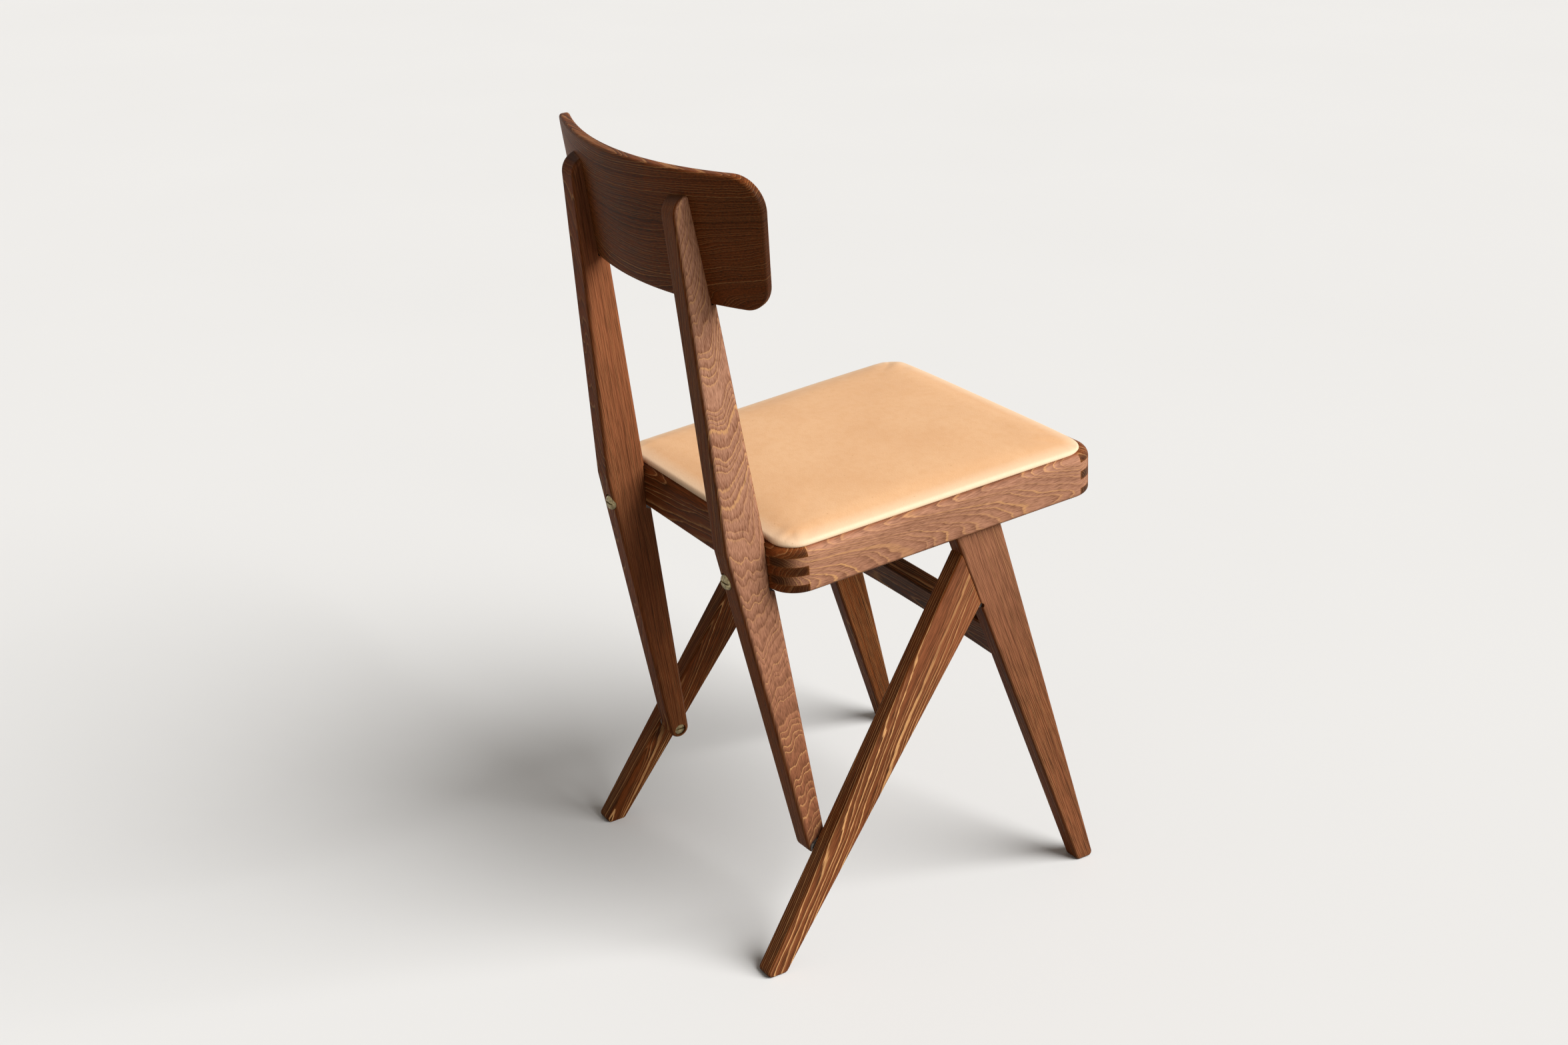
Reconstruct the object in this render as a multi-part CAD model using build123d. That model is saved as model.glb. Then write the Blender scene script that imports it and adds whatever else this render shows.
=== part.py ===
"""Folding side chair in stained beech with a leather seat pad.

Frame: X across the chair (its left is +X), -Y to the front, +Z up, millimetres,
origin on the floor under the middle of the chair. The open position is drawn.
Side pieces are outlines in the Y-Z plane, given a thickness along X and leaned
into place; the right side mirrors the left.
"""
import os
from math import atan2, cos, degrees, radians, sin, sqrt, tan

from build123d import *

# Seat frame
seat_back_y = 147.57          # rear face of the seat frame at its lower edge
seat_rear_height = 395.0     # underside of the seat frame at the rear
seat_tilt = 4.4              # degrees, front edge higher
seat_depth = 368.0
seat_width_rear = 313.0
seat_width_front = 335.0
rail_height = 46.0
rail_thickness = 26.0
frame_corner_radius = 30.0
rail_top_round = 10.0
rail_bottom_round = 4.0
finger_count = 5             # finger joint layers at each corner
corner_block_leg = 46.0
corner_block_height = 20.0

# Seat pad
pad_inset = 4.5              # pad edge to frame edge, at the sides
pad_rear_more = 1.0          # further in at the rear edge
pad_front_more = 7.5         # further in at the front edge
pad_corner_radius = 24.0
pad_border_height = 6.5
pad_crown = 13.0
pad_crown_run = 100.0        # from the pad's edge to its flat middle
pad_roll = 4.0               # width of the rolled border
pad_drawn_in = 1.5
pad_board_thickness = 4.0
pad_board_inset = 8.0
pad_screw_radius = 2.0
pad_screw_head_radius = 4.2
pad_screw_head_height = 2.2
pad_screw_bite = 3.0

# Uprights
upright_thickness = 25.0
upright_inner_x = 103.0      # inner face from the middle, at the seat's rear height
upright_splay = 3.8          # degrees, lower ends wider apart
upright_top_z = 766.0
upright_top_front = 55.1     # front edge at the top, behind the seat's rear face
upright_top_depth = 22.8
upright_knee_z = 435.0
upright_knee_back = 43.5     # obtuse corner of the rear edge, behind the seat's rear face
upright_end_radius = 10.8
upright_edge_round = 4.0
upright_top_round = 18.0     # rear corner of the head

# Backrest
backrest_arc_top = 371.0     # along the bend, at the upper edge
backrest_arc_bottom = 346.0
backrest_height = 119.0
backrest_thickness = 10.0
backrest_bend_radius = 428.0
backrest_top_z = 788.0       # upper edge, level with the uprights' front edges
backrest_top_corner = 29.0
backrest_bottom_corner = 26.0
backrest_edge_round = 3.0
backrest_let_in = 9.8        # into the uprights' front edges
backrest_glue_gap = 0.1
backrest_dowel_radius = 4.0
backrest_dowel_bite = 7.0
backrest_dowel_length = 16.0
backrest_dowel_spacing = 44.0

# Legs
leg_thickness = 20.0
leg_inset = 7.2              # leg's outer face inside the rail's outer face, at the head
leg_splay = 3.8
leg_edge_round = 3.0
foot_round = 5.0             # front and rear corners of a leg's foot
front_head_front = -249.0    # Y measured from the seat's rear face
front_head_rear = -193.4
front_foot_front = -374.5
front_foot_rear = -352.9
rear_foot_rear = 37.2
rear_foot_front = 11.7
shoulder_top_below = 7.0     # rear leg's shoulder on the front leg, below the seat's rear height
shoulder_low_below = 65.0
shoulder_gap = 0.2
head_gap = 0.3               # leg head under the rail
stretcher_height = 43.0
stretcher_thickness = 20.0
stretcher_middle_z = 284.0
stretcher_arch = 5.0
stretcher_edge_round = 2.5
stretcher_set_in = 3.0       # behind the front leg's rear edge line
stretcher_dowel_radius = 4.0
stretcher_dowel_in_leg = 12.0
stretcher_dowel_in_rail = 22.0
stretcher_dowel_spacing = 24.0

# Pivot of uprights and rear legs
pivot_back = -42.0           # Y measured from the seat's rear face
pivot_z = 112.0
pivot_shoulder_radius = 4.0
pivot_thread_radius = 3.0
pivot_head_radius = 6.0
pivot_head_height = 4.0
pivot_recess_depth = 6.5
pivot_recess_radius = 6.6
pivot_end_gap = 0.3
pivot_washer_radius = 9.0
pivot_washer_hole = 4.6
pivot_washer_clearance = 0.7
insert_radius = 5.5
insert_length = 13.0

# Swing hinge of seat and uprights
hinge_from_back = 12.0       # seat pin from the frame's rear face
hinge_from_top = 12.0        # seat pin from the frame's top
link_length = 24.0
link_width = 9.0
link_thickness = 4.0
link_side_gap = 1.0          # between eye and link, and beside them
hinge_pin_radius = 2.5
hinge_pin_bite = 11.0
eye_radius = 6.0
eye_thickness = 4.2
eye_x = 111.0                # middle of the eye bolt from the chair's middle
bolt_radius = 4.0
bolt_head_radius = 8.0
bolt_head_height = 5.0
bolt_spotface_depth = 2.4
bolt_spotface_radius = 8.6
slot_clearance = 1.2
link_fold = 36.0             # degrees the link swings forward
seat_fold = 86.0             # degrees the seat turns up

# Compass hinges of front and rear legs
knuckle_radius = 2.5
knuckle_pin_radius = 1.2
knuckle_groove_radius = 3.0
knuckle_count = 3
knuckle_gap = 0.4
leaf_thickness = 1.6
leaf_length = 32.0
leaf_width = 14.0
leaf_clearance = 0.6         # round the leaf in its recess
leaf_screw_radius = 1.5
leaf_screw_length = 12.0
leaf_screw_first = 11.0
leaf_screw_spacing = 14.0

# Locating pegs on the leg heads
peg_base_radius = 5.0
peg_tip_radius = 2.0
peg_height = 7.0
peg_stem_radius = 3.0
peg_stem_length = 14.0
peg_hole_radius = 5.8
peg_hole_depth = 9.0

# Fits
running_fit = 0.05
notch_clearance = 0.4
ledge_clearance = 0.8
ledge_run = 12.0             # the notch's ledge falls away to the front
ledge_fall = 6.5
lip_clearance = 0.6
screw_slot_width = 1.8
screw_slot_depth = 1.5
reach = 600.0                # longer than any cut needs

# Derived places
side_angle = degrees(atan2((seat_width_front - seat_width_rear) / 2, seat_depth))
seat_place = Location((0, seat_back_y, seat_rear_height), (-seat_tilt, 0, 0))
pivot = (seat_back_y + pivot_back, pivot_z)


def seat_point(y, z):
    """World (y, z) of a point behind and above the frame's rear lower edge."""
    turn = radians(seat_tilt)
    return (seat_back_y + y * cos(turn) + z * sin(turn),
            seat_rear_height - y * sin(turn) + z * cos(turn))


def line_y(first, second, z):
    """Y at height z on the line through two (y, z) points."""
    return first[0] + (second[0] - first[0]) * (z - first[1]) / (second[1] - first[1])


def tangent_point(outside, centre, radius, side):
    """Point where a line from outside touches a circle; side is 1 or -1."""
    dy = outside[0] - centre[0]
    dz = outside[1] - centre[1]
    spread = atan2(sqrt(dy * dy + dz * dz - radius * radius), radius)
    angle = atan2(dz, dy) + side * spread
    return centre[0] + radius * cos(angle), centre[1] + radius * sin(angle)


def slab(points, thickness):
    """Solid with the outline points (y, z), from X = 0 to the thickness."""
    outline = Polyline([(0, y, z) for y, z in points], close=True)
    return extrude(make_face(outline), amount=thickness, dir=(1, 0, 0))


def rod_x(x_from, x_to, at, radius):
    """Cylinder along X at the (y, z) place."""
    plane = Plane((x_from, at[0], at[1]), x_dir=(0, 1, 0), z_dir=(1, 0, 0))
    return extrude(plane * Circle(radius), x_to - x_from)


def rod_y(x, y_from, y_to, z, radius):
    """Cylinder along Y, towards the rear."""
    plane = Plane((x, y_from, z), x_dir=(1, 0, 0), z_dir=(0, 1, 0))
    return extrude(plane * Circle(radius), y_to - y_from)


def rod_z(x, y, z_from, z_to, radius):
    """Cylinder along Z."""
    return Pos(x, y, z_from) * extrude(Circle(radius), z_to - z_from)


def block(x_span, y_span, z_span):
    """Box from three (low, high) pairs."""
    middle = [(span[0] + span[1]) / 2 for span in (x_span, y_span, z_span)]
    size = [span[1] - span[0] for span in (x_span, y_span, z_span)]
    return Pos(*middle) * Box(*size)


def round_faces(solid, radius, sharp_at=None):
    """Rounds the outlines of a slab's two broad faces, apart from the edges at sharp_at."""
    faces = solid.faces().sort_by(Axis.X)
    edges = list(faces[0].edges()) + list(faces[-1].edges())
    if sharp_at:
        spot = Vector(0, sharp_at[0], sharp_at[1])
        edges = [edge for edge in edges
                 if (Vector(0, edge.center().Y, edge.center().Z) - spot).length > 1.0]
    return fillet(edges, radius)


def both_sides(shape):
    """The left-hand shape and its mirror image."""
    return shape + mirror(shape, about=Plane.YZ)


def frame_corners(inset, rear_more=0.0, front_more=0.0):
    """Left corners of the seat plan drawn in by inset: rear then front, as (x, y)."""
    step = inset / cos(radians(side_angle))
    rear_y = -inset - rear_more
    front_y = inset + front_more - seat_depth
    return (half_width(rear_y) - step, rear_y), (half_width(front_y) - step, front_y)


def frame_plan(inset, corner, rear_more=0.0, front_more=0.0):
    """Seat plan drawn in by inset, with rounded corners."""
    rear, front = frame_corners(inset, rear_more, front_more)
    points = [rear, (-rear[0], rear[1]), (-front[0], front[1]), front]
    plan = make_face(Polyline([(x, y, 0) for x, y in points], close=True))
    return fillet(plan.vertices(), corner) if corner > 0 else plan


def half_width(y):
    """Half the seat frame's width at y behind its rear face."""
    return seat_width_rear / 2 - y * tan(radians(side_angle))


# Hinge axes as (y, z)
seat_pin = seat_point(-hinge_from_back, rail_height - hinge_from_top)
link_pin = seat_point(-hinge_from_back, rail_height - hinge_from_top - link_length)

# Edges of the legs as pairs of (y, z) points
head_y = (front_head_front + front_head_rear) / 2
head_z = seat_point(head_y, 0)[1]
front_leg_rear = ((seat_back_y + front_foot_rear, 0.0), (seat_back_y + front_head_rear, head_z))
front_leg_front = ((seat_back_y + front_foot_front, 0.0), (seat_back_y + front_head_front, head_z))
shoulder_low_z = seat_rear_height - shoulder_low_below
shoulder_top_z = seat_rear_height - shoulder_top_below
crotch = (line_y(*front_leg_rear, shoulder_low_z), shoulder_low_z)
shoulder_top = (line_y(*front_leg_rear, shoulder_top_z), shoulder_top_z)
rear_leg_rear = ((seat_back_y + rear_foot_rear, 0.0), shoulder_top)
rear_leg_front = ((seat_back_y + rear_foot_front, 0.0), crotch)
shoulder_angle = atan2(shoulder_top[1] - crotch[1], shoulder_top[0] - crotch[0])

# Leaned frames of the left side's pieces, whose inner face is X = 0
leg_head_x = half_width(head_y) - leg_inset - leg_thickness
leg_lean = Location((leg_head_x, seat_back_y + head_y, head_z), (0, -leg_splay, side_angle))
leg_place = leg_lean * Location((0, -seat_back_y - head_y, -head_z))
upright_lean = Location((upright_inner_x, seat_back_y, seat_rear_height), (0, -upright_splay, 0))
upright_place = upright_lean * Location((0, -seat_back_y, -seat_rear_height))


def leg_inner_x(at):
    """X of the left legs' inner face at the (y, z) place."""
    down = (head_z - at[1]) * tan(radians(leg_splay))
    return leg_head_x + down - (at[0] - seat_back_y - head_y) * tan(radians(side_angle))


def upright_inner_at(z):
    """X of the left upright's inner face."""
    return upright_inner_x + (seat_rear_height - z) * tan(radians(upright_splay))


def upright_outer_at(z):
    """X of the left upright's outer face."""
    return upright_inner_at(z) + upright_thickness / cos(radians(upright_splay))


# Upright outline as (y, z) points
front_top = (seat_back_y + upright_top_front, upright_top_z)
rear_top = (front_top[0] + upright_top_depth, upright_top_z)
knee = (seat_back_y + upright_knee_back, upright_knee_z)
front_touch = tangent_point(front_top, pivot, upright_end_radius, 1)
rear_touch = tangent_point(knee, pivot, upright_end_radius, -1)
back_lean = degrees(atan2(front_top[0] - front_touch[0], front_top[1] - front_touch[1]))

# Backrest frame: X across, Y behind the uprights' front edges, Z up along them
backrest_middle_z = backrest_top_z - backrest_height / 2 * cos(radians(back_lean))
backrest_place = Location((0, line_y(front_touch, front_top, backrest_middle_z), backrest_middle_z),
                          (-back_lean, 0, 0))
backrest_meet_x = (upright_inner_at(backrest_middle_z) + upright_outer_at(backrest_middle_z)) / 2
backrest_sag = backrest_bend_radius - sqrt(backrest_bend_radius**2 - backrest_meet_x**2)
backrest_axis_y = backrest_let_in + backrest_sag - backrest_bend_radius

# Swing hinge along X
eye_span = (eye_x - eye_thickness / 2, eye_x + eye_thickness / 2)
link_span = (eye_span[1] + link_side_gap, eye_span[1] + link_side_gap + link_thickness)
slot_span = (eye_span[0] - link_side_gap, link_span[1] + link_side_gap)

pieces = {}

# Seat rails, drawn level in the frame's own place
plan_body = extrude(frame_plan(0, frame_corner_radius), rail_height)
plan_body = fillet(plan_body.faces().sort_by(Axis.Z)[-1].edges(), rail_top_round)
plan_body = fillet(plan_body.faces().sort_by(Axis.Z)[0].edges(), rail_bottom_round)
ring = plan_body - extrude(frame_plan(rail_thickness, 0), rail_height)
inner_rear, inner_front = frame_corners(rail_thickness)
inner_slope = (inner_front[0] - inner_rear[0]) / (inner_front[1] - inner_rear[1])
side_rear_x = inner_rear[0] - inner_slope * inner_rear[1]
side_front_x = inner_rear[0] - inner_slope * (inner_rear[1] + seat_depth)
layer = rail_height / finger_count


def side_zone(z_from, z_to):
    """Plan area of the left rail, over its whole length."""
    points = [(side_rear_x, 0), (reach, 0), (reach, -seat_depth), (side_front_x, -seat_depth)]
    face = make_face(Polyline([(x, y, z_from) for x, y in points], close=True))
    return both_sides(extrude(face, z_to - z_from))


cross_spans = {"rear": (-rail_thickness, 0.0), "front": (-seat_depth, rail_thickness - seat_depth)}
side_fingers = [index for index in range(finger_count) if index % 2 == 1]
cross_fingers = [index for index in range(finger_count) if index % 2 == 0]
rails = {}
for end, y_span in cross_spans.items():
    rail = ring & block((-reach, reach), y_span, (0, rail_height))
    for index in side_fingers:
        rail = rail - side_zone(index * layer, (index + 1) * layer)
    rails[end] = rail
sides = ring & side_zone(0, rail_height)
for y_span in cross_spans.values():
    for index in cross_fingers:
        sides = sides - block((-reach, reach), y_span, (index * layer, (index + 1) * layer))

# Slots in the rear rail for the swing links, and the seat pins
pin_local = (-hinge_from_back, rail_height - hinge_from_top)
folded_turn = radians(seat_fold + link_fold)
along = (sin(folded_turn), -cos(folded_turn))
half_slot = link_width / 2 + slot_clearance
slot_front = pin_local[0] - eye_radius - slot_clearance
edge_near = (pin_local[0] - along[1] * half_slot, pin_local[1] + along[0] * half_slot)
edge_far = (edge_near[0] + along[0] * link_length * 2, edge_near[1] + along[1] * link_length * 2)
slot_points = [(slot_front, -rail_height), (slot_front, pin_local[1]), edge_near, edge_far,
               (edge_far[0], -rail_height)]
slot = Pos(slot_span[0], 0, 0) * slab(slot_points, slot_span[1] - slot_span[0])
pin_ends = (slot_span[0] - hinge_pin_bite, slot_span[1] + hinge_pin_bite)
seat_pin_rod = rod_x(pin_ends[0], pin_ends[1], pin_local, hinge_pin_radius)
seat_pin_hole = rod_x(pin_ends[0], pin_ends[1], pin_local, hinge_pin_radius + running_fit)
rails["rear"] = rails["rear"] - both_sides(slot) - both_sides(seat_pin_hole)

sides = sides - both_sides(seat_pin_hole)

# Sockets for the pegs of the leg heads
peg_x = leg_head_x + leg_thickness / 2
sides = sides - both_sides(rod_z(peg_x, head_y, -1, peg_hole_depth, peg_hole_radius))
side_solids = sides.solids().sort_by(Axis.X)
pieces["seat_rail_front"] = seat_place * rails["front"]
pieces["seat_rail_rear"] = seat_place * rails["rear"]
pieces["seat_rail_right"] = seat_place * side_solids[0]
pieces["seat_rail_left"] = seat_place * side_solids[-1]
pieces["seat_hinge_pins"] = seat_place * both_sides(seat_pin_rod)

# Seat pad over a thin board
border_steps = [(0.0, pad_drawn_in), (0.2, pad_drawn_in / 3), (0.42, 0.0), (0.66, pad_roll * 0.1),
                (0.85, pad_roll * 0.42), (1.0, pad_roll)]
crown_steps = [(0.2, 0.05), (0.45, 0.15), (0.7, 0.32), (0.87, 0.54), (0.97, 0.8), (1.0, 1.0)]
pad_sections = [(pad_border_height * share, inset) for share, inset in border_steps]
pad_sections += [(pad_border_height + (pad_crown - pad_border_height) * share,
                  pad_roll + (pad_crown_run - pad_roll) * run) for share, run in crown_steps]
pad = loft([Pos(0, 0, rail_height + z)
            * frame_plan(pad_inset + inset, pad_corner_radius + inset / 4, pad_rear_more, pad_front_more)
            for z, inset in pad_sections], ruled=True)
board_plan = frame_plan(pad_inset + pad_board_inset, pad_corner_radius, pad_rear_more, pad_front_more)
board = Pos(0, 0, rail_height) * extrude(board_plan, pad_board_thickness)
pad = pad - board

# Corner blocks and the screws that hold the pad board
block_floor = rail_height - corner_block_height
pad_screws = []
turn = radians(side_angle)
corner_runs = {"rear": (inner_rear, (sin(turn), -cos(turn))), "front": (inner_front, (-sin(turn), cos(turn)))}
for end, (corner, run) in corner_runs.items():
    second = (corner[0] - corner_block_leg, corner[1])
    third = (corner[0] + run[0] * corner_block_leg, corner[1] + run[1] * corner_block_leg)
    triangle = make_face(Polyline([(x, y, block_floor) for x, y in (corner, second, third)], close=True))
    solid = extrude(triangle, corner_block_height)
    middle = ((corner[0] + second[0] + third[0]) / 3, (corner[1] + second[1] + third[1]) / 3)
    shank_top = rail_height + pad_screw_bite
    hole = rod_z(middle[0], middle[1], block_floor - 1, shank_top, pad_screw_radius + running_fit)
    head = rod_z(middle[0], middle[1], block_floor - pad_screw_head_height, block_floor,
                 pad_screw_head_radius)
    shank = rod_z(middle[0], middle[1], block_floor - pad_screw_head_height, shank_top, pad_screw_radius)
    slot_low = block_floor - pad_screw_head_height
    driver = block((middle[0] - reach / 100, middle[0] + reach / 100),
                   (middle[1] - screw_slot_width / 3, middle[1] + screw_slot_width / 3),
                   (slot_low - 1, slot_low + pad_screw_head_height / 2))
    pad_screws.append(head + shank - driver)
    board = board - both_sides(hole)
    pieces["corner_block_" + end + "_left"] = seat_place * (solid - hole)
    pieces["corner_block_" + end + "_right"] = seat_place * mirror(solid - hole, about=Plane.YZ)
pieces["seat_board"] = seat_place * board
pieces["seat_pad"] = seat_place * pad
pieces["pad_screws"] = seat_place * both_sides(pad_screws[0] + pad_screws[1])

# Backrest, a panel bent about an upright axis; its ends are square to the bend and draw in downwards
panel_low = -backrest_height / 2
panel_high = backrest_height / 2
bend_outer = Pos(0, backrest_axis_y, panel_low) * extrude(Circle(backrest_bend_radius), backrest_height)
bend_inner = Pos(0, backrest_axis_y, panel_low) * extrude(
    Circle(backrest_bend_radius - backrest_thickness), backrest_height)
panel = (bend_outer - bend_inner) & block((-reach, reach), (backrest_axis_y, reach), (-reach, reach))
end_turn = (backrest_arc_top + backrest_arc_bottom) / 4 / backrest_bend_radius
end_taper = atan2((backrest_arc_top - backrest_arc_bottom) / 2, backrest_height)
end_out = (sin(end_turn), cos(end_turn), 0)
panel_end = Plane((backrest_bend_radius * end_out[0], backrest_axis_y + backrest_bend_radius * end_out[1], 0),
                  x_dir=end_out,
                  z_dir=(cos(end_turn) * cos(end_taper), -sin(end_turn) * cos(end_taper), -sin(end_taper)))
panel = panel - both_sides(panel_end.location * Pos(0, 0, reach / 2) * Box(2 * reach, 2 * reach, reach))
panel = fillet(panel.edges().filter_by(GeomType.LINE).sort_by(Axis.Z)[:2], backrest_bottom_corner)
panel = fillet(panel.edges().filter_by(GeomType.LINE).sort_by(Axis.Z)[-2:], backrest_top_corner)
bent_faces = panel.faces().filter_by(GeomType.CYLINDER).sort_by(SortBy.AREA)[-2:]
panel = fillet(bent_faces[0].edges() + bent_faces[1].edges(), backrest_edge_round)
scribe = Pos(0, backrest_axis_y, panel_low - notch_clearance) * extrude(
    Circle(backrest_bend_radius + backrest_glue_gap), backrest_height)
dowels = []
for shift in (-backrest_dowel_spacing / 2, backrest_dowel_spacing / 2):
    dowel_z = backrest_middle_z + shift
    dowel_x = (upright_inner_at(dowel_z) + upright_outer_at(dowel_z)) / 2
    dowels.append(rod_y(dowel_x, backrest_let_in - backrest_dowel_bite,
                        backrest_let_in - backrest_dowel_bite + backrest_dowel_length,
                        shift, backrest_dowel_radius))
    panel = panel - both_sides(rod_y(dowel_x, backrest_let_in - backrest_dowel_bite, reach / 10, shift,
                                     backrest_dowel_radius + running_fit))
pieces["backrest"] = backrest_place * panel
pieces["backrest_dowels"] = backrest_place * both_sides(dowels[0] + dowels[1])

# Uprights
upright = slab([front_top, rear_top, knee, rear_touch, pivot, front_touch], upright_thickness)
upright = upright + rod_x(0, upright_thickness, pivot, upright_end_radius)
top_edges = upright.edges().filter_by(Axis.X).group_by(Axis.Z)[-1].sort_by(Axis.Y)
upright = fillet(top_edges[-1], upright_top_round)
upright = upright_place * round_faces(upright, upright_edge_round)
notch_points = [(notch_clearance, rail_height + lip_clearance), (notch_clearance, -ledge_clearance),
                (-ledge_run, -ledge_clearance - ledge_fall), (-reach / 10, -ledge_clearance - ledge_fall),
                (-reach / 10, rail_height + lip_clearance)]
notch = seat_place * slab(notch_points, reach / 2)
upright = upright - notch
upright = upright - backrest_place * scribe
for dowel in dowels:
    middle = dowel.center()
    upright = upright - backrest_place * rod_y(
        middle.X, backrest_let_in - backrest_dowel_bite,
        backrest_let_in - backrest_dowel_bite + backrest_dowel_length + 1, middle.Z,
        backrest_dowel_radius + running_fit)

# Eye bolts through the uprights
bolt_rear_y = line_y(rear_touch, knee, link_pin[1]) - bolt_spotface_depth
bolt_start = seat_point(notch_clearance, rail_height)[0]
bolt = rod_y(eye_x, bolt_start, bolt_rear_y, link_pin[1], bolt_radius)
head = rod_y(eye_x, bolt_rear_y, bolt_rear_y + bolt_head_height, link_pin[1], bolt_head_radius)
head = fillet(head.faces().sort_by(Axis.Y)[-1].edges(), bolt_head_height * 0.85)
driver = block((eye_x - reach / 10, eye_x + reach / 10),
               (bolt_rear_y + bolt_head_height - screw_slot_depth, bolt_rear_y + reach / 10),
               (link_pin[1] - screw_slot_width / 2, link_pin[1] + screw_slot_width / 2))
neck_half = eye_radius / 2
neck = block(eye_span, (link_pin[0], bolt_start + 1), (link_pin[1] - neck_half, link_pin[1] + neck_half))
eye = rod_x(eye_span[0], eye_span[1], link_pin, eye_radius)
eye_hole = rod_x(eye_span[0] - 1, eye_span[1] + 1, link_pin, hinge_pin_radius + running_fit)
eye_bolt = bolt + (head - driver) + neck + eye - eye_hole
pieces["eye_bolts"] = both_sides(eye_bolt)
upright = upright - rod_y(eye_x, bolt_start - reach / 10, bolt_rear_y + 1, link_pin[1],
                          bolt_radius + running_fit)
upright = upright - rod_y(eye_x, bolt_rear_y, bolt_rear_y + reach / 10, link_pin[1], bolt_spotface_radius)

# Swing links between the eye bolts and the seat pins
link_top = rod_x(link_span[0], link_span[1], seat_pin, link_width / 2)
link_low = rod_x(link_span[0], link_span[1], link_pin, link_width / 2)
link_side = (link_width / 2 * cos(radians(seat_tilt)), -link_width / 2 * sin(radians(seat_tilt)))
link_bar = Pos(link_span[0], 0, 0) * slab(
    [(seat_pin[0] + link_side[0], seat_pin[1] + link_side[1]),
     (link_pin[0] + link_side[0], link_pin[1] + link_side[1]),
     (link_pin[0] - link_side[0], link_pin[1] - link_side[1]),
     (seat_pin[0] - link_side[0], seat_pin[1] - link_side[1])], link_thickness)
link = link_top + link_low + link_bar
link = link - rod_x(link_span[0] - 1, link_span[1] + 1, seat_pin, hinge_pin_radius + running_fit)
link = link - rod_x(link_span[0] - 1, link_span[1] + 1, link_pin, hinge_pin_radius)
pieces["swing_links"] = both_sides(link)
pieces["link_pins"] = both_sides(rod_x(eye_span[0], link_span[1], link_pin, hinge_pin_radius))

# Pivot at the uprights' lower ends
recess_x = upright_inner_at(pivot_z) + pivot_recess_depth
pivot_face_x = leg_inner_x(pivot)
upright = upright - rod_x(recess_x, reach, pivot, pivot_shoulder_radius + running_fit)
upright = upright - rod_x(recess_x - reach / 10, recess_x, pivot, pivot_recess_radius)
pieces["upright_left"] = upright
pieces["upright_right"] = mirror(upright, about=Plane.YZ)
head_x = recess_x - pivot_end_gap
pivot_head = rod_x(head_x - pivot_head_height, head_x, pivot, pivot_head_radius)
driver = block((head_x - reach / 10, head_x - pivot_head_height + screw_slot_depth),
               (pivot[0] - reach / 10, pivot[0] + reach / 10),
               (pivot_z - screw_slot_width / 2, pivot_z + screw_slot_width / 2))
shoulder_end = pivot_face_x - pivot_end_gap
pivot_screw = (pivot_head - driver) + rod_x(head_x, shoulder_end, pivot, pivot_shoulder_radius)
pivot_screw = pivot_screw + rod_x(shoulder_end, pivot_face_x + insert_length - 1, pivot, pivot_thread_radius)
pieces["pivot_screws"] = both_sides(pivot_screw)
insert = rod_x(pivot_face_x + 1, pivot_face_x + insert_length, pivot, insert_radius)
insert = insert - rod_x(pivot_face_x, pivot_face_x + insert_length + 1, pivot, pivot_thread_radius)
pieces["pivot_inserts"] = both_sides(insert)
pivot_gap = pivot_face_x - upright_outer_at(pivot_z)
washer_low = pivot_washer_clearance - pivot_gap
washer = leg_place * rod_x(washer_low, 0, pivot, pivot_washer_radius)
washer = washer - rod_x(0, reach, pivot, pivot_washer_hole)
pieces["pivot_washers"] = both_sides(washer)

# Legs
floor_cut = block((-reach, reach), (-reach, reach), (-reach, 0))
seat_cut = seat_place * block((-reach, reach), (-reach, reach), (-head_gap, reach))
front_spare = -2.2            # foot of the uncut leg, below the level cut
rear_spare = -1.5
above = head_z + 40.0
front_leg = slab([(line_y(*front_leg_front, front_spare), front_spare),
                  (line_y(*front_leg_front, above), above),
                  (line_y(*front_leg_rear, above), above),
                  (line_y(*front_leg_rear, front_spare), front_spare)], leg_thickness)
front_leg = fillet(front_leg.edges().filter_by(Axis.X).sort_by(Axis.Z)[:2], foot_round)
front_leg = leg_place * round_faces(front_leg, leg_edge_round) - floor_cut - seat_cut
step = (sin(shoulder_angle) * shoulder_gap, -cos(shoulder_angle) * shoulder_gap)
shoulder_ends = [(spot[0] + step[0], spot[1] + step[1]) for spot in (shoulder_top, crotch)]
shoulder_middle = ((shoulder_ends[0][0] + shoulder_ends[1][0]) / 2,
                   (shoulder_ends[0][1] + shoulder_ends[1][1]) / 2)
rear_leg = slab([(line_y(*rear_leg_rear, rear_spare), rear_spare), shoulder_ends[0], shoulder_ends[1],
                 (line_y(*rear_leg_front, rear_spare), rear_spare)], leg_thickness)
rear_leg = fillet(rear_leg.edges().filter_by(Axis.X).sort_by(Axis.Z)[:2], foot_round)
rear_leg = leg_place * round_faces(rear_leg, leg_edge_round, shoulder_middle) - floor_cut
rear_leg = rear_leg - rod_x(0, pivot_face_x + insert_length, pivot, insert_radius)

# Compass hinges between the legs; the leaves lie in the shoulder
shoulder_frame = leg_place * Plane((leg_thickness / 2, crotch[0], crotch[1]),
                                   x_dir=(0, cos(shoulder_angle), sin(shoulder_angle)),
                                   z_dir=(0, sin(shoulder_angle), -cos(shoulder_angle))).location
knuckle_x = leg_inner_x(crotch) + leg_thickness / 2
groove = rod_x(0, reach, crotch, knuckle_groove_radius)
knuckle_low = knuckle_x - leaf_width / 2
knuckle_step = leaf_width / knuckle_count


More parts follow.
